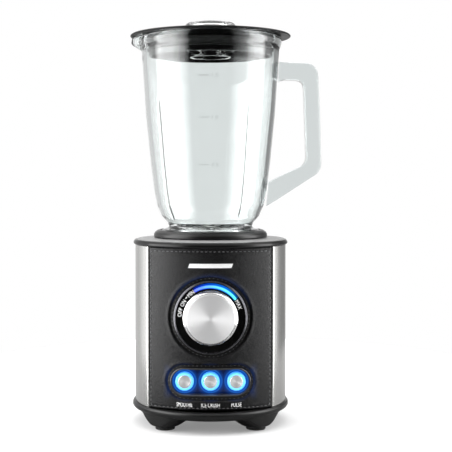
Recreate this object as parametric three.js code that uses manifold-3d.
// Countertop blender: round motor base, glass jug with a handle, lid with a measuring cap.
// Millimetres, +Z up, front towards -Y, handle towards +X. The origin is on the table, under
// the middle of the object's bounding box; the drive axis stands DRIVE_AXIS_X beside it.
import * as THREE from 'three';
import { mergeVertices } from 'three/addons/utils/BufferGeometryUtils.js';
import Module from 'manifold-3d';

const manifoldWasm = await Module();
manifoldWasm.setup();

// ---------- driving dimensions ----------
const CLEARANCE = 0.3;              // between pieces that touch or fit together
const LID_RADIUS = 82;              // the widest round part
const HANDLE_REACH = 113.8;         // from the drive axis to the back of the grip
const DRIVE_AXIS_X = (LID_RADIUS - HANDLE_REACH) / 2;

const WRAP_RADIUS = 77.3;           // steel wrap of the base
const WRAP_THICKNESS = 1.2;
const WRAP_BOTTOM_Z = 21.9;
const WRAP_TOP_Z = 181.2;
const WRAP_HALF_OPENING = THREE.MathUtils.degToRad(53);
const RETURN_DEPTH = 5;             // inward fold at each end of the wrap

const PANEL_RADIUS = 111;           // front panel, flatter than the wrap
const PANEL_DEPTH = 66;             // drive axis to the middle of the leather
const PANEL_CENTRE_Y = PANEL_RADIUS - PANEL_DEPTH;
const PANEL_HALF_ANGLE = THREE.MathUtils.degToRad(51.8);
const PANEL_EDGE_RADIUS = 73;       // where the panel's side edge is measured
const LEATHER_THICKNESS = 1.4;
const CARRIER_THICKNESS = 2.5;

const LIP_RADIUS = 80;
const LIP_TOP_Z = WRAP_BOTTOM_Z - CLEARANCE;
const FLOOR_BOTTOM_Z = 11.5;
const FLOOR_THICKNESS = 3;
const FOOT_OFFSET = 45;
const FOOT_RADIUS = 10;
const FOOT_HEIGHT = 3.2;
const FOOT_SPIGOT_RADIUS = 3.5;
const FOOT_SPIGOT_TOP_Z = 8;

const COVER_RADIUS = 79.2;
const COVER_BOTTOM_Z = WRAP_TOP_Z + CLEARANCE;
const COVER_TOP_Z = 187;
const SOCKET_RADIUS = 46.2;
const SOCKET_FLOOR_Z = 176.5;
const WELL_RADIUS = 22;
const WELL_FLOOR_Z = 163;

const DIAL_Z = 113;
const DIAL_RADIUS = 36;
const DIAL_FACE_Y = -64;
const KNOB_RADIUS = 26.8;
const KNOB_FACE_RADIUS = 22.7;
const KNOB_FRONT_Y = -74.9;
const KNOB_SHAFT_RADIUS = 3;
const ARC_INNER_RADIUS = 28.3;
const ARC_OUTER_RADIUS = 33.6;
const ARC_START = THREE.MathUtils.degToRad(36);
const ARC_END = THREE.MathUtils.degToRad(121);

const BUTTON_Z = 49.6;
const BUTTON_PITCH = 25.4;
const BUTTON_RADIUS = 6.5;
const BUTTON_FRONT_Y = -61.5;
const BUTTON_TRAVEL_GAP = 2.2;
const LIGHT_RING_RADIUS = 9.1;
const BEZEL_HALF_WIDTH = 39.7;
const BEZEL_HALF_HEIGHT = 14;
const BEZEL_WALL = 1.8;
const BEZEL_FLOOR_Y = -57;

const TIE_OFFSET = 28.5;            // long screws through the motor brackets
const TIE_RADIUS = 2;
const TIE_HOLE_RADIUS = 2.4;
const POST_RADIUS = 5.5;
const SHAFT_RADIUS = 4;
const ROTOR_RADIUS = 19.8;
const STATOR_HALF = 34;
const STATOR_BOTTOM_Z = 75;
const STATOR_TOP_Z = 115;

const COLLAR_RADIUS = 58.2;
const COLLAR_BOTTOM_Z = 188.5;
const COLLAR_TOP_Z = 196;
const JUG_TOP_Z = 392.4;
const SPOUT_RADIUS = 15;
const SPOUT_CENTRE_X = -65.5;
const HANDLE_WIDTH = 16;
const BLADE_SHAFT_RADIUS = 3.2;
const HUB_TOP_Z = 190.2;            // hub of the blade holder, inside the neck of the jug
const BLADE_THICKNESS = 1.2;

const LID_BOTTOM_Z = JUG_TOP_Z + CLEARANCE;
const THROAT_RADIUS = 22.6;
const CAP_TOP_Z = 407;

const SMOOTH = 36;                  // facets round a visible turned piece
const PLAIN = 18;
const SMALL = 8;

// ---------- shape helpers ----------
const solid = (geometry) => {
  const bare = geometry.clone();
  bare.deleteAttribute('normal');
  bare.deleteAttribute('uv');
  const merged = mergeVertices(bare, 1e-4);
  return new manifoldWasm.Manifold(new manifoldWasm.Mesh({
    numProp: 3,
    vertProperties: merged.attributes.position.array,
    triVerts: new Uint32Array(merged.index.array),
  }));
};

const geometryOf = (manifold) => {
  const mesh = manifold.getMesh();
  const geometry = new THREE.BufferGeometry();
  geometry.setAttribute('position', new THREE.BufferAttribute(mesh.vertProperties, 3));
  geometry.setIndex(new THREE.BufferAttribute(mesh.triVerts, 1));
  return geometry;
};

const join = (first, ...others) =>
  geometryOf(others.reduce((sum, other) => sum.add(solid(other)), solid(first)));
const cut = (first, ...others) =>
  geometryOf(others.reduce((rest, other) => rest.subtract(solid(other)), solid(first)));
const common = (first, second) => geometryOf(solid(first).intersect(solid(second)));

const signedArea = (outline) => outline.reduce((sum, [r, z], i) => {
  const [nextR, nextZ] = outline[(i + 1) % outline.length];
  return sum + (r * nextZ - nextR * z) / 2;
}, 0);

// A closed outline of [radius, height] pairs turned about +Z.
const revolve = (outline, segments = SMOOTH) => {
  const ordered = signedArea(outline) > 0 ? [...outline] : [...outline].reverse();
  const onAxis = ordered.filter(([r]) => r === 0).length >= 2;
  if (onAxis) {
    while (!(ordered[0][0] === 0 && ordered[ordered.length - 1][0] === 0)) {
      ordered.push(ordered.shift());
    }
  } else {
    ordered.push(ordered[0]);
  }
  const points = ordered.map(([r, z]) => new THREE.Vector2(r, z));
  return new THREE.LatheGeometry(points, segments).rotateX(Math.PI / 2);
};

// The same outline turned about an axis that points forward (-Y); height becomes -Y.
const revolveForward = (outline, z, segments = SMOOTH) =>
  revolve(outline, segments).rotateX(Math.PI / 2).translate(0, 0, z);

const ring = (outer, inner, bottomZ, topZ, segments = PLAIN) =>
  revolve([[inner, bottomZ], [outer, bottomZ], [outer, topZ], [inner, topZ]], segments);

const rod = (radius, bottomZ, topZ, x = 0, y = 0, segments = 12) =>
  new THREE.CylinderGeometry(radius, radius, topZ - bottomZ, segments)
    .rotateX(Math.PI / 2).translate(x, y, (bottomZ + topZ) / 2);

// A rod that lies along Y, from frontY (nearer the viewer) to backY.
const crossRod = (radius, frontY, backY, x, z, segments = PLAIN) =>
  new THREE.CylinderGeometry(radius, radius, backY - frontY, segments)
    .translate(x, (frontY + backY) / 2, z);

const box = (x0, x1, y0, y1, z0, z1) =>
  new THREE.BoxGeometry(x1 - x0, y1 - y0, z1 - z0)
    .translate((x0 + x1) / 2, (y0 + y1) / 2, (z0 + z1) / 2);

const prism = (shape, bottomZ, topZ, curveSegments = 12) =>
  new THREE.ExtrudeGeometry(shape, { depth: topZ - bottomZ, bevelEnabled: false, curveSegments })
    .translate(0, 0, bottomZ);

// A flat shape drawn in x and z, extruded along Y from frontY to backY.
const facePrism = (shape, frontY, backY, z, curveSegments = 8) =>
  new THREE.ExtrudeGeometry(shape, { depth: backY - frontY, bevelEnabled: false, curveSegments })
    .rotateX(Math.PI / 2).translate(0, backY, z);

const corners = (offset) =>
  [[-1, -1], [1, -1], [1, 1], [-1, 1]].map(([sx, sy]) => [sx * offset, sy * offset]);

const blender = new THREE.Group();
blender.name = 'countertop_blender';
const add = (name, geometry, color) => {
  const mesh = new THREE.Mesh(
    geometry.translate(DRIVE_AXIS_X, 0, 0),
    new THREE.MeshStandardMaterial({ name: `${name}_material`, color }),
  );
  mesh.geometry.computeVertexNormals();
  mesh.name = name;
  blender.add(mesh);
};

const BLACK = 0x17181a;
const DARK = 0x2b2c2e;
const STEEL = 0xb9bbbd;
const COPPER = 0xb06a3a;
const BRONZE = 0xb08d57;
const BOARD_GREEN = 0x1f5a3a;
const GLASS = 0xdfe8ea;
const BLUE = 0x4aa8ff;

// ---------- plan outlines of the base ----------
// Inside of the base: the wrap's circle, cut flatter by the front panel.
const insidePlan = (backInset, frontInset) => {
  const back = WRAP_RADIUS - backInset;
  const front = PANEL_RADIUS - frontInset;
  const y = (back ** 2 - front ** 2 + PANEL_CENTRE_Y ** 2) / (2 * PANEL_CENTRE_Y);
  const x = Math.sqrt(back ** 2 - y ** 2);
  const shape = new THREE.Shape();
  shape.absarc(0, 0, back, Math.atan2(y, x), Math.PI - Math.atan2(y, x), false);
  const left = Math.atan2(y - PANEL_CENTRE_Y, -x);
  shape.absarc(0, PANEL_CENTRE_Y, front, left, Math.PI - left, false);
  return shape;
};

// The front panel: a flat arc closed by two radial side edges.
const panelPlan = (inset, innerRadius) => {
  const angle = PANEL_HALF_ANGLE - inset / PANEL_EDGE_RADIUS;
  const radius = PANEL_RADIUS - inset;
  const along = -PANEL_CENTRE_Y * Math.cos(angle)
    + Math.sqrt(radius ** 2 - (PANEL_CENTRE_Y * Math.sin(angle)) ** 2);
  const x = along * Math.sin(angle);
  const y = -along * Math.cos(angle);
  const turn = Math.atan2(y - PANEL_CENTRE_Y, x);
  const shape = new THREE.Shape();
  shape.moveTo(-innerRadius * Math.sin(angle), -innerRadius * Math.cos(angle));
  shape.absarc(0, PANEL_CENTRE_Y, radius, Math.PI - turn, turn, false);
  shape.lineTo(innerRadius * Math.sin(angle), -innerRadius * Math.cos(angle));
  return shape;
};

const pill = (halfWidth, halfHeight) => {
  const shape = new THREE.Shape();
  shape.absarc(halfWidth - halfHeight, 0, halfHeight, -Math.PI / 2, Math.PI / 2, false);
  shape.absarc(halfHeight - halfWidth, 0, halfHeight, Math.PI / 2, 3 * Math.PI / 2, false);
  return shape;
};

// A low wall that the wrap and the panel locate on, open at the two panel seams.
const locatingRing = (bottomZ, topZ) => cut(
  prism(insidePlan(1.6, 4.7), bottomZ, topZ),
  prism(insidePlan(3.6, 6.7), bottomZ - 1, topZ + 1),
  ...[-61, 61].map((x) => box(x - 14, x + 14, -62, -34, bottomZ - 1, topZ + 1)),
);

// ---------- base: feet, bottom housing, wrap, front panel ----------
const FOOT_NAMES = ['front_left', 'front_right', 'rear_right', 'rear_left'];
corners(FOOT_OFFSET).forEach(([x, y], i) => {
  const foot = revolve([
    [0, 0], [FOOT_RADIUS - 0.8, 0], [FOOT_RADIUS, 0.8], [FOOT_RADIUS, FOOT_HEIGHT],
    [FOOT_SPIGOT_RADIUS, FOOT_HEIGHT], [FOOT_SPIGOT_RADIUS, FOOT_SPIGOT_TOP_Z],
    [0, FOOT_SPIGOT_TOP_Z],
  ], 14);
  add(`foot_${FOOT_NAMES[i]}`, foot.translate(x, y, 0), DARK);
});

const legTop = FLOOR_BOTTOM_Z + 2;
const legBottom = FOOT_HEIGHT + CLEARANCE;
const leg = () => new THREE.CylinderGeometry(15, 11, legTop - legBottom, 20)
  .rotateX(Math.PI / 2).translate(0, 0, (legTop + legBottom) / 2);
const bowl = cut(
  join(
    revolve([
      [0, FLOOR_BOTTOM_Z], [66, FLOOR_BOTTOM_Z], [73, 12.6], [78.2, 15], [LIP_RADIUS, 17.6],
      [79.8, 20.2], [78.8, LIP_TOP_Z], [0, LIP_TOP_Z],
    ]),
    ...corners(FOOT_OFFSET).map(([x, y]) => leg().translate(x, y, 0)),
  ),
  prism(insidePlan(6, 8.5), FLOOR_BOTTOM_Z + FLOOR_THICKNESS, LIP_TOP_Z + 1),
);
const LOWER_BRACKET_Z = 47;
add('bottom_housing', cut(
  join(
    bowl,
    locatingRing(LIP_TOP_Z - 1, LIP_TOP_Z + 5),
    ...corners(TIE_OFFSET).map(([x, y]) =>
      rod(POST_RADIUS, FLOOR_BOTTOM_Z + 1, LOWER_BRACKET_Z - CLEARANCE, x, y, SMALL)),
  ),
  ...corners(FOOT_OFFSET).map(([x, y]) =>
    rod(FOOT_SPIGOT_RADIUS + CLEARANCE, legBottom - 1, FOOT_SPIGOT_TOP_Z + CLEARANCE, x, y, 14)),
  ...corners(TIE_OFFSET).map(([x, y]) => rod(TIE_HOLE_RADIUS, 0, LOWER_BRACKET_Z + 1, x, y, SMALL)),
  ...[-18, -9, 0, 9, 18].map((x) => box(x - 1.8, x + 1.8, -16, 16, 0, LIP_TOP_Z)),
), BLACK);

const steelPlan = () => {
  const start = WRAP_HALF_OPENING - Math.PI / 2;
  const end = Math.PI - start;
  const fold = WRAP_THICKNESS / WRAP_RADIUS;
  const inner = WRAP_RADIUS - WRAP_THICKNESS;
  const deep = WRAP_RADIUS - RETURN_DEPTH;
  const at = (radius, angle) => [radius * Math.cos(angle), radius * Math.sin(angle)];
  const shape = new THREE.Shape();
  shape.moveTo(...at(deep, start));
  shape.absarc(0, 0, WRAP_RADIUS, start, end, false);
  shape.lineTo(...at(deep, end));
  shape.lineTo(...at(deep, end - fold));
  shape.absarc(0, 0, inner, end - fold, start + fold, true);
  shape.lineTo(...at(deep, start + fold));
  return shape;
};
const GLAND_Z = 38;
const GLAND_HOLE_RADIUS = 7;
add('steel_body', cut(
  prism(steelPlan(), WRAP_BOTTOM_Z, WRAP_TOP_Z, 24),
  crossRod(GLAND_HOLE_RADIUS, WRAP_RADIUS - 10, WRAP_RADIUS + 10, 0, GLAND_Z),
), STEEL);

const panelOpenings = (extra) => [
  crossRod(DIAL_RADIUS + extra, -90, 0, 0, DIAL_Z, SMOOTH),
  facePrism(pill(BEZEL_HALF_WIDTH + extra, BEZEL_HALF_HEIGHT + extra), -90, 0, BUTTON_Z),
];
add('leather_cover', cut(
  prism(panelPlan(0, 69), WRAP_BOTTOM_Z, WRAP_TOP_Z),
  prism(panelPlan(LEATHER_THICKNESS, 55), WRAP_BOTTOM_Z - 1, WRAP_TOP_Z + 1),
  ...panelOpenings(CLEARANCE + 0.2),
), BLACK);
const carrierInset = LEATHER_THICKNESS + CLEARANCE;
add('panel_carrier', cut(
  prism(panelPlan(carrierInset, 70), WRAP_BOTTOM_Z, WRAP_TOP_Z),
  prism(panelPlan(carrierInset + CARRIER_THICKNESS, 55), WRAP_BOTTOM_Z - 1, WRAP_TOP_Z + 1),
  ...panelOpenings(CLEARANCE),
), DARK);

const GLAND_RADIUS = GLAND_HOLE_RADIUS - 0.4;
const glandFlange = WRAP_RADIUS + 0.4;
add('cord_gland', revolve([
  [0, 68], [GLAND_RADIUS, 68], [GLAND_RADIUS, glandFlange], [9, glandFlange],
  [9, glandFlange + 1.7], [5, glandFlange + 2.1], [4.6, LID_RADIUS - 0.4], [0, LID_RADIUS - 0.4],
], 16).rotateX(-Math.PI / 2).translate(0, 0, GLAND_Z), BLACK);

// ---------- top cover with the jug's socket ----------
const UPPER_BRACKET_TOP_Z = 134;
const KEY_HALF_WIDTH = 3.5;
const quarterTurns = [0, 1, 2, 3].map((i) => i * Math.PI / 2 + Math.PI / 4);
const socketKey = (halfWidth, innerRadius, bottomZ, topZ) => quarterTurns.map((turn) =>
  box(innerRadius, SOCKET_RADIUS + 1, -halfWidth, halfWidth, bottomZ, topZ).rotateZ(turn));
const coverShell = revolve([
  [6.5, WELL_FLOOR_Z - 2.5], [24.5, WELL_FLOOR_Z - 2.5], [24.5, 174], [49, 174],
  [49, COVER_BOTTOM_Z], [78.4, COVER_BOTTOM_Z], [COVER_RADIUS, 182.6], [79, 184.4],
  [77.6, 186.2], [75, COVER_TOP_Z], [60, 187.9], [SOCKET_RADIUS, 188],
  [SOCKET_RADIUS, SOCKET_FLOOR_Z], [WELL_RADIUS, SOCKET_FLOOR_Z],
  [WELL_RADIUS, WELL_FLOOR_Z], [6.5, WELL_FLOOR_Z],
]);
add('top_cover', cut(
  join(
    coverShell,
    locatingRing(COVER_BOTTOM_Z - 6, COVER_BOTTOM_Z + 1),
    ...socketKey(KEY_HALF_WIDTH, 44, SOCKET_FLOOR_Z - 0.5, 184),
    ...corners(TIE_OFFSET).map(([x, y]) =>
      rod(POST_RADIUS, UPPER_BRACKET_TOP_Z + CLEARANCE, 175, x, y, SMALL)),
  ),
  ...corners(TIE_OFFSET).map(([x, y]) =>
    rod(TIE_HOLE_RADIUS, UPPER_BRACKET_TOP_Z, 152, x, y, SMALL)),
), BLACK);

// ---------- controls: dial, knob, light arc, buttons ----------
const dialFront = -DIAL_FACE_Y;
add('dial_housing', cut(
  revolveForward([
    [KNOB_SHAFT_RADIUS + 0.6, 57.5], [DIAL_RADIUS, 57.5], [DIAL_RADIUS, dialFront - 0.6],
    [34, dialFront - 0.6], [34, dialFront], [KNOB_SHAFT_RADIUS + 0.6, dialFront],
  ], DIAL_Z),
  facePrism(arcShape(CLEARANCE), DIAL_FACE_Y - 1, DIAL_FACE_Y + 2, DIAL_Z),
), BLACK);
add('dial_ring', revolveForward([
  [34.3, dialFront - 0.3], [DIAL_RADIUS, dialFront - 0.3], [DIAL_RADIUS, dialFront + 0.7],
  [35.2, dialFront + 1.2], [34.3, dialFront + 0.7],
], DIAL_Z), STEEL);
add('light_arc', facePrism(arcShape(0), DIAL_FACE_Y, DIAL_FACE_Y + 1.7, DIAL_Z), BLUE);

function arcShape(extra) {
  const spread = extra / ARC_INNER_RADIUS;
  const shape = new THREE.Shape();
  shape.absarc(0, 0, ARC_OUTER_RADIUS + extra, ARC_START - spread, ARC_END + spread, false);
  shape.absarc(0, 0, ARC_INNER_RADIUS - extra, ARC_END + spread, ARC_START - spread, true);
  return shape;
}

const knobBack = dialFront + 0.6;
const knobFront = -KNOB_FRONT_Y;
add('knob_body', revolveForward([
  [0, 72], [KNOB_SHAFT_RADIUS + CLEARANCE, 72], [KNOB_SHAFT_RADIUS + CLEARANCE, knobBack],
  [KNOB_RADIUS, knobBack], [KNOB_RADIUS, knobBack + 2], [KNOB_FACE_RADIUS + 0.9, knobFront - 0.3],
  [KNOB_FACE_RADIUS, knobFront], [KNOB_FACE_RADIUS, knobFront - 1.3], [0, knobFront - 1.3],
], DIAL_Z), STEEL);
add('knob_face', revolveForward([
  [0, knobFront - 1], [KNOB_FACE_RADIUS - CLEARANCE, knobFront - 1],
  [KNOB_FACE_RADIUS - CLEARANCE, knobFront], [KNOB_FACE_RADIUS - 0.8, knobFront + 0.4],
  [0, knobFront + 0.4],
], DIAL_Z), STEEL);
add('knob_shaft', crossRod(KNOB_SHAFT_RADIUS, -71.7, -50.4, 0, DIAL_Z, SMALL), STEEL);
add('speed_control', join(
  revolveForward([
    [0, 45], [11, 45], [11, 56.8], [KNOB_SHAFT_RADIUS + CLEARANCE, 56.8],
    [KNOB_SHAFT_RADIUS + CLEARANCE, 50], [0, 50],
  ], DIAL_Z, 16),
  box(-26, 26, -46.6, -44.6, DIAL_Z - 20, DIAL_Z + 20),
), DARK);

const panelCylinder = rod(PANEL_RADIUS, 0, 100, 0, PANEL_CENTRE_Y, 72);
const buttonXs = [-BUTTON_PITCH, 0, BUTTON_PITCH];
add('button_bezel', cut(
  common(
    facePrism(pill(BEZEL_HALF_WIDTH, BEZEL_HALF_HEIGHT), -80, BEZEL_FLOOR_Y + 2.5, BUTTON_Z),
    panelCylinder,
  ),
  facePrism(
    pill(BEZEL_HALF_WIDTH - BEZEL_WALL, BEZEL_HALF_HEIGHT - BEZEL_WALL),
    -90, BEZEL_FLOOR_Y, BUTTON_Z,
  ),
  ...buttonXs.map((x) => crossRod(LIGHT_RING_RADIUS + CLEARANCE, -90, 0, x, BUTTON_Z)),
), BLACK);
buttonXs.forEach((x, i) => {
  const lightRing = revolveForward([
    [BUTTON_RADIUS + 0.6, 54.2], [LIGHT_RING_RADIUS, 54.2], [LIGHT_RING_RADIUS, 59.8],
    [LIGHT_RING_RADIUS - 0.5, 60.3], [BUTTON_RADIUS + 0.6, 60.3],
  ], BUTTON_Z, PLAIN);
  add(`light_ring_${i + 1}`, lightRing.translate(x, 0, 0), BLUE);
  const switchFront = 53.3;
  const button = revolveForward([
    [0, switchFront + BUTTON_TRAVEL_GAP], [2.5, switchFront + BUTTON_TRAVEL_GAP], [2.5, 58],
    [BUTTON_RADIUS, 58], [BUTTON_RADIUS, -BUTTON_FRONT_Y - 0.5],
    [BUTTON_RADIUS - 0.5, -BUTTON_FRONT_Y], [0, -BUTTON_FRONT_Y],
  ], BUTTON_Z, PLAIN);
  add(`button_${i + 1}`, button.translate(x, 0, 0), STEEL);
});
add('control_board', join(
  box(-40, 40, -50.6, -49, BUTTON_Z - 16, BUTTON_Z + 16),
  ...buttonXs.map((x) => box(x - 4, x + 4, -53.3, -50, BUTTON_Z - 4, BUTTON_Z + 4)),
), BOARD_GREEN);

// ---------- motor ----------
const STATOR_BORE_RADIUS = 20.6;
const COIL_SLOT_RADIUS = 25;
const statorPlan = () => {
  const h = STATOR_HALF;
  const r = 6;
  const shape = new THREE.Shape();
  shape.absarc(h - r, r - h, r, -Math.PI / 2, 0, false);
  shape.absarc(h - r, h - r, r, 0, Math.PI / 2, false);
  shape.absarc(r - h, h - r, r, Math.PI / 2, Math.PI, false);
  shape.absarc(r - h, r - h, r, Math.PI, 3 * Math.PI / 2, false);
  const bore = new THREE.Path();
  const slot = THREE.MathUtils.degToRad(47);
  bore.absarc(0, 0, COIL_SLOT_RADIUS, -slot, slot, false);
  bore.absarc(0, 0, STATOR_BORE_RADIUS, slot, Math.PI - slot, false);
  bore.absarc(0, 0, COIL_SLOT_RADIUS, Math.PI - slot, Math.PI + slot, false);
  bore.absarc(0, 0, STATOR_BORE_RADIUS, Math.PI + slot, 2 * Math.PI - slot, false);
  shape.holes.push(bore);
  return shape;
};
add('motor_stator', cut(
  prism(statorPlan(), STATOR_BOTTOM_Z, STATOR_TOP_Z, 5),
  ...corners(TIE_OFFSET).map(([x, y]) =>
    rod(TIE_HOLE_RADIUS, STATOR_BOTTOM_Z - 1, STATOR_TOP_Z + 1, x, y, SMALL)),
), DARK);
const coilPlan = () => {
  const half = THREE.MathUtils.degToRad(43);
  const shape = new THREE.Shape();
  shape.absarc(0, 0, COIL_SLOT_RADIUS - 0.4, -half, half, false);
  shape.absarc(0, 0, STATOR_BORE_RADIUS + 0.4, half, -half, true);
  return shape;
};
const COIL_OVERHANG = 8;
const coil = () =>
  prism(coilPlan(), STATOR_BOTTOM_Z - COIL_OVERHANG, STATOR_TOP_Z + COIL_OVERHANG, 5);
add('field_coil_right', coil(), COPPER);
add('field_coil_left', coil().rotateZ(Math.PI), COPPER);

const BEARING_RADIUS = 10.5;
const BRACKET_THICKNESS = 8;
const bracket = (plateZ, postBottomZ, postTopZ) => cut(
  join(
    box(-STATOR_HALF, STATOR_HALF, -8, 8, plateZ, plateZ + BRACKET_THICKNESS),
    ...[-1, 1].map((side) =>
      box(
        side * TIE_OFFSET - 6, side * TIE_OFFSET + 6, -STATOR_HALF, STATOR_HALF,
        plateZ, plateZ + BRACKET_THICKNESS,
      )),
    rod(BEARING_RADIUS + 3.5, plateZ, plateZ + BRACKET_THICKNESS, 0, 0, PLAIN),
    ...corners(TIE_OFFSET).map(([x, y]) =>
      rod(POST_RADIUS, postBottomZ, postTopZ, x, y, SMALL)),
  ),
  rod(BEARING_RADIUS + CLEARANCE, plateZ - 1, plateZ + BRACKET_THICKNESS + 1, 0, 0, PLAIN),
  ...corners(TIE_OFFSET).map(([x, y]) =>
    rod(TIE_HOLE_RADIUS, postBottomZ - 1, postTopZ + 9, x, y, SMALL)),
);
const UPPER_BRACKET_Z = UPPER_BRACKET_TOP_Z - BRACKET_THICKNESS;
add('lower_bracket', bracket(LOWER_BRACKET_Z, LOWER_BRACKET_Z, STATOR_BOTTOM_Z - CLEARANCE), STEEL);
add('upper_bracket', bracket(UPPER_BRACKET_Z, STATOR_TOP_Z + CLEARANCE, UPPER_BRACKET_TOP_Z), STEEL);
const shaftBore = SHAFT_RADIUS + CLEARANCE;
add('bearing_lower', ring(BEARING_RADIUS, shaftBore, LOWER_BRACKET_Z, LOWER_BRACKET_Z + 7), STEEL);
add('bearing_upper', ring(BEARING_RADIUS, shaftBore, UPPER_BRACKET_Z, UPPER_BRACKET_Z + 7), STEEL);
corners(TIE_OFFSET).forEach(([x, y], i) => {
  const screw = revolve([
    [0, 8], [4.2, 8], [4.2, FLOOR_BOTTOM_Z - CLEARANCE], [TIE_RADIUS, FLOOR_BOTTOM_Z - CLEARANCE],
    [TIE_RADIUS, 151], [0, 151],
  ], 8);
  add(`tie_screw_${i + 1}`, screw.translate(x, y, 0), STEEL);
});

const COMMUTATOR_RADIUS = 11;
[-1, 1].forEach((side) => {
  const inner = COMMUTATOR_RADIUS + CLEARANCE;
  const brush = join(
    box(inner, 30, -3, 3, 59, 65.4),
    box(17, 28, -5, 5, 57, 66.4),
  ).rotateZ(side > 0 ? 0 : Math.PI);
  add(`brush_${side > 0 ? 'right' : 'left'}`, brush, DARK);
});

add('motor_shaft', rod(SHAFT_RADIUS, 45, 170.7), STEEL);
const ROTOR_SLOTS = 12;
const slottedCore = () => {
  const shape = new THREE.Shape();
  const pitch = 2 * Math.PI / ROTOR_SLOTS;
  for (let i = 0; i < ROTOR_SLOTS; i += 1) {
    const centre = i * pitch;
    shape.absarc(0, 0, ROTOR_RADIUS, centre - pitch * 0.28, centre + pitch * 0.28, false);
    shape.absarc(0, 0, 14, centre + pitch * 0.34, centre + pitch * 0.66, false);
  }
  return shape;
};
const axleBore = (bottomZ, topZ) => rod(shaftBore, bottomZ, topZ);
add('rotor_core', cut(prism(slottedCore(), 77, 113, 2), axleBore(70, 120)), DARK);
add('rotor_winding', join(
  ring(17.5, 6.5, 67.5, 76.7),
  ring(17.5, 6.5, 113.3, 122),
  ...[...Array(ROTOR_SLOTS).keys()].map((i) =>
    rod(1.1, 76, 114, 16.6, 0, 6).rotateZ((i + 0.5) * 2 * Math.PI / ROTOR_SLOTS)),
), COPPER);
add('commutator', ring(COMMUTATOR_RADIUS, shaftBore, 57.5, 67.2), COPPER);
const FAN_BLADES = 8;
const FAN_RADIUS = 32;
const FAN_BOTTOM_Z = UPPER_BRACKET_TOP_Z + 3;
const FAN_TOP_Z = FAN_BOTTOM_Z + 10;
add('cooling_fan', cut(
  join(
    rod(9, FAN_BOTTOM_Z, FAN_TOP_Z),
    rod(FAN_RADIUS, FAN_BOTTOM_Z, FAN_BOTTOM_Z + 1.5, 0, 0, PLAIN),
    ...[...Array(FAN_BLADES).keys()].map((i) =>
      box(8, FAN_RADIUS - 1, -0.8, 0.8, FAN_BOTTOM_Z + 1, FAN_TOP_Z)
        .rotateZ(i * 2 * Math.PI / FAN_BLADES)),
  ),
  axleBore(130, 150),
), DARK);

const SPLINE_TEETH = 6;
const SPLINE_TIP_RADIUS = 13;
const SPLINE_ROOT_RADIUS = 9.5;
const splinePlan = (extra) => {
  const shape = new THREE.Shape();
  const pitch = 2 * Math.PI / SPLINE_TEETH;
  for (let i = 0; i < SPLINE_TEETH; i += 1) {
    const half = pitch * 0.2 + extra / 12;
    shape.absarc(0, 0, SPLINE_TIP_RADIUS + extra, i * pitch - half, i * pitch + half, false);
    shape.absarc(
      0, 0, SPLINE_ROOT_RADIUS + extra,
      i * pitch + half + 0.04, (i + 1) * pitch - half - 0.04, false,
    );
  }
  return shape;
};
add('drive_coupling', cut(prism(splinePlan(0), 164, 173.5, 3), axleBore(160, 171)), BLACK);

// ---------- jug: glass, handle, collar, blade holder ----------
const outerWall = [
  [36.4, 184.6], [36.4, 191.1], [50.6, 191.1], [50.6, 195], [49.4, 196.2], [44, 197.4],
  [42.4, 199], [43.6, 202], [50.3, 210], [55, 221.5], [58, 237], [61.4, 264.7], [66.4, 315.2],
  [69.8, 368.7], [70.6, 380], [72.4, 384], [73, 387], [72.4, 391], [71, JUG_TOP_Z],
];
const innerWall = [
  [66.6, JUG_TOP_Z], [66, 385], [65.4, 368], [61.8, 315], [56.7, 264.7], [53.2, 237],
  [49.8, 221.5], [44, 210], [35.5, 201], [30.5, 197], [30.5, 184.6],
];
const JUG_FACETS = 32;
const RIB_DEPTH = 3.2;
const RIB_WIDTH = 4;
const ribOutline = () => {
  const wall = innerWall.filter(([, z]) => z > 205 && z < 330);
  const shape = new THREE.Shape();
  wall.forEach(([r, z], i) => shape[i ? 'lineTo' : 'moveTo'](r + 2, z));
  [...wall].reverse().forEach(([r, z], i) => {
    const blend = i === 0 || i === wall.length - 1 ? 0.4 : RIB_DEPTH;
    shape.lineTo(r - blend, z);
  });
  return shape;
};
const rib = (turn) =>
  new THREE.ExtrudeGeometry(ribOutline(), { depth: RIB_WIDTH, bevelEnabled: false })
    .translate(0, 0, -RIB_WIDTH / 2).rotateX(Math.PI / 2).rotateZ(turn);
const spoutCup = (radius, tipRadius, tipZ, topZ) => join(
  new THREE.CylinderGeometry(radius, tipRadius, 7, PLAIN)
    .rotateX(Math.PI / 2).translate(0, 0, tipZ + 3.5),
  rod(radius, tipZ + 6.9, topZ, 0, 0, PLAIN),
).translate(SPOUT_CENTRE_X, 0, 0);
const jugCore = revolve([
  [0, JUG_TOP_Z + 1], [66.6, JUG_TOP_Z + 1], ...innerWall, [30.5, 184], [0, 184],
], JUG_FACETS);
add('glass_jug', cut(
  join(
    cut(
      join(
        revolve([[0, 184.6], ...outerWall, [0, JUG_TOP_Z]], JUG_FACETS),
        spoutCup(SPOUT_RADIUS, 7, 379, JUG_TOP_Z),
      ),
      jugCore,
    ),
    ...quarterTurns.map(rib),
  ),
  spoutCup(SPOUT_RADIUS - 3.6, 3.4, 383.5, JUG_TOP_Z + 1),
), GLASS);

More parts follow.
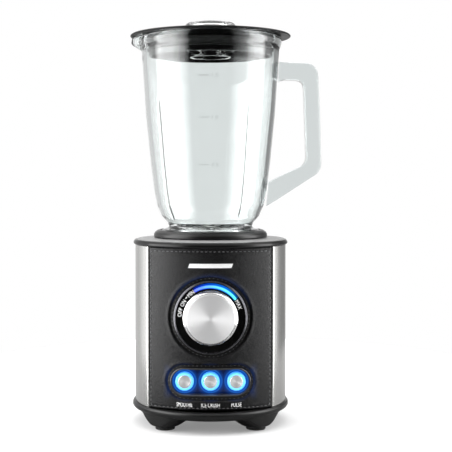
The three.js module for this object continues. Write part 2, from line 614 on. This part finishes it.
const handleOutline = () => {
  const shape = new THREE.Shape();
  shape.moveTo(50, 366.8);
  shape.lineTo(71.5, 366.8);
  shape.lineTo(74, 364.9);
  shape.lineTo(97, 364.2);
  shape.quadraticCurveTo(109, 363.5, 109.9, 350);
  shape.lineTo(112.2, 314);
  shape.lineTo(HANDLE_REACH, 268);
  shape.quadraticCurveTo(HANDLE_REACH, 259.5, 106.5, 254);
  shape.lineTo(66, 227.6);
  shape.lineTo(64, 224.2);
  shape.lineTo(50, 215);
  shape.lineTo(50, 237);
  shape.lineTo(63, 247.4);
  shape.lineTo(66, 247);
  shape.lineTo(91, 258.8);
  shape.quadraticCurveTo(99.4, 263.5, 99.9, 273);
  shape.lineTo(96.9, 340);
  shape.quadraticCurveTo(96.5, 348.4, 89, 348.8);
  shape.lineTo(74, 349.3);
  shape.lineTo(71.5, 347.4);
  shape.lineTo(50, 347.4);
  return shape;
};
const HANDLE_BEVEL = 2;
const handleBar = new THREE.ExtrudeGeometry(handleOutline(), {
  depth: HANDLE_WIDTH - 2 * HANDLE_BEVEL,
  bevelThickness: HANDLE_BEVEL,
  bevelSize: HANDLE_BEVEL,
  bevelOffset: -HANDLE_BEVEL,
  bevelSegments: 2,
  curveSegments: 6,
}).translate(0, 0, HANDLE_BEVEL - HANDLE_WIDTH / 2).rotateX(Math.PI / 2);
const glassFace = revolve([
  [0, 200], ...outerWall.filter(([, z]) => z > 201 && z < 381).map(([r, z]) => [r + CLEARANCE, z]),
  [0, 380],
], JUG_FACETS);
add('jug_handle', cut(handleBar, glassFace), GLASS);

const jugKeyway = quarterTurns.map((turn) =>
  box(43.6, 50, -KEY_HALF_WIDTH - 0.8, KEY_HALF_WIDTH + 0.8, 170, 186).rotateZ(turn));
add('jug_collar', cut(revolve([
  [21, 177.2], [44.8, 177.2], [45.4, 178], [45.4, COLLAR_BOTTOM_Z],
  [COLLAR_RADIUS - 0.4, COLLAR_BOTTOM_Z], [COLLAR_RADIUS, 189], [COLLAR_RADIUS, 191.6],
  [57, 193.6], [54.6, 195.4], [52.6, COLLAR_TOP_Z], [51.2, COLLAR_TOP_Z], [51.2, 190.8],
  [37, 190.8], [37, 180.4], [21, 180.4],
]), ...jugKeyway), BLACK);
add('blade_gasket', ring(36, 30.8, 182.8, 184.3, JUG_FACETS), DARK);
add('blade_holder', revolve([
  [5.3, 179.6], [13, 179.6], [13, 180.7], [36.4, 180.7], [36.4, 182.5], [29.6, 182.5],
  [29.2, 184.4], [14, 185.6], [10, 187.4], [9, HUB_TOP_Z], [5.3, HUB_TOP_Z],
], PLAIN), STEEL);
add('shaft_bush', ring(5, BLADE_SHAFT_RADIUS + CLEARANCE, 180, HUB_TOP_Z - 0.4), BRONZE);

// ---------- blades ----------
const SHOULDER_Z = HUB_TOP_Z + 0.4;
const LOWER_BLADE_Z = SHOULDER_Z + 1.9;
const UPPER_BLADE_Z = LOWER_BLADE_Z + 1.5;
const NUT_Z = UPPER_BLADE_Z + 1.5;
add('blade_shaft', revolve([
  [0, 175], [BLADE_SHAFT_RADIUS, 175], [BLADE_SHAFT_RADIUS, SHOULDER_Z], [5.6, SHOULDER_Z],
  [5.6, SHOULDER_Z + 1.6], [3, SHOULDER_Z + 1.6], [3, NUT_Z + 4.6], [0, NUT_Z + 4.6],
], 16), STEEL);
// Side view of one bent blade: flat in the middle, both arms at the same slope.
const BLADE_FLAT = 9;
const BLADE_HALF_WIDTH = 7;
const bladeStrip = (halfSpan, rise, z) => {
  const shape = new THREE.Shape();
  const upper = [
    [-halfSpan, z + rise], [-BLADE_FLAT, z], [BLADE_FLAT, z], [halfSpan, z + rise],
  ];
  upper.forEach(([x, y], i) => shape[i ? 'lineTo' : 'moveTo'](x, y));
  [...upper].reverse().forEach(([x, y]) => shape.lineTo(x, y + BLADE_THICKNESS));
  return new THREE.ExtrudeGeometry(shape, { depth: 2 * BLADE_HALF_WIDTH, bevelEnabled: false })
    .translate(0, 0, -BLADE_HALF_WIDTH).rotateX(Math.PI / 2);
};
const bladeTaper = (halfSpan) => {
  const shape = new THREE.Shape();
  shape.moveTo(-halfSpan - 1, -1);
  shape.lineTo(-10, -BLADE_HALF_WIDTH);
  shape.lineTo(10, -BLADE_HALF_WIDTH);
  shape.lineTo(halfSpan + 1, 1);
  shape.lineTo(10, BLADE_HALF_WIDTH);
  shape.lineTo(-10, BLADE_HALF_WIDTH);
  return prism(shape, 180, 240);
};
const blade = (halfSpan, rise, z) => cut(
  common(bladeStrip(halfSpan, rise, z), bladeTaper(halfSpan)),
  rod(BLADE_SHAFT_RADIUS + 0.1, z - 1, z + 3),
);
add('blade_lower', blade(26, -2, LOWER_BLADE_Z).rotateZ(Math.PI / 2), STEEL);
add('blade_upper', blade(25, 9, UPPER_BLADE_Z), STEEL);
add('blade_nut', cut(rod(6, NUT_Z, NUT_Z + 3.8, 0, 0, 6), rod(3.3, NUT_Z - 5, NUT_Z + 5)), STEEL);
add('jug_coupling', cut(
  revolve([[0, 166.5], [18, 166.5], [18.5, 167], [18.5, 178.4], [18, 179], [0, 179]], PLAIN),
  prism(splinePlan(0.6), 160, 174.2, 3),
  rod(BLADE_SHAFT_RADIUS + CLEARANCE, 174.7, 185),
), BLACK);

// ---------- lid and measuring cap ----------
const SEAL_BOTTOM_Z = 378;
const SEAL_TOP_Z = 388;
add('lid', revolve([
  [THROAT_RADIUS, 380], [25, 380], [25.4, 394], [60, 390], [60.6, 373.4], [61.4, 373],
  [62.8, 373], [63.3, 374], [63.3, SEAL_BOTTOM_Z], [61.8, SEAL_BOTTOM_Z],
  [61.8, SEAL_TOP_Z], [63.4, SEAL_TOP_Z], [63.6, LID_BOTTOM_Z], [81.4, LID_BOTTOM_Z],
  [LID_RADIUS, 393.4], [LID_RADIUS, 394.8], [81.2, 395.6], [62, 397.6], [30, 399.6],
  [THROAT_RADIUS, 400],
]), BLACK);
add('lid_seal', revolve([
  [62.1, SEAL_BOTTOM_Z + CLEARANCE], [64.4, SEAL_BOTTOM_Z + CLEARANCE], [65, 379.4],
  [63.6, 380.8], [63.6, 385], [65, 386.6], [64.4, SEAL_TOP_Z - CLEARANCE],
  [62.1, SEAL_TOP_Z - CLEARANCE],
]), DARK);
add('measuring_cap', revolve([
  [0, CAP_TOP_Z - 2.4], [18.6, CAP_TOP_Z - 2.4], [19.6, CAP_TOP_Z - 4], [18.8, 372],
  [20.8, 372], [22, 400.3], [25.4, 400.3], [26, 401.2], [25.4, 405.6], [24, CAP_TOP_Z],
  [0, CAP_TOP_Z],
], 24), GLASS);

export default blender;
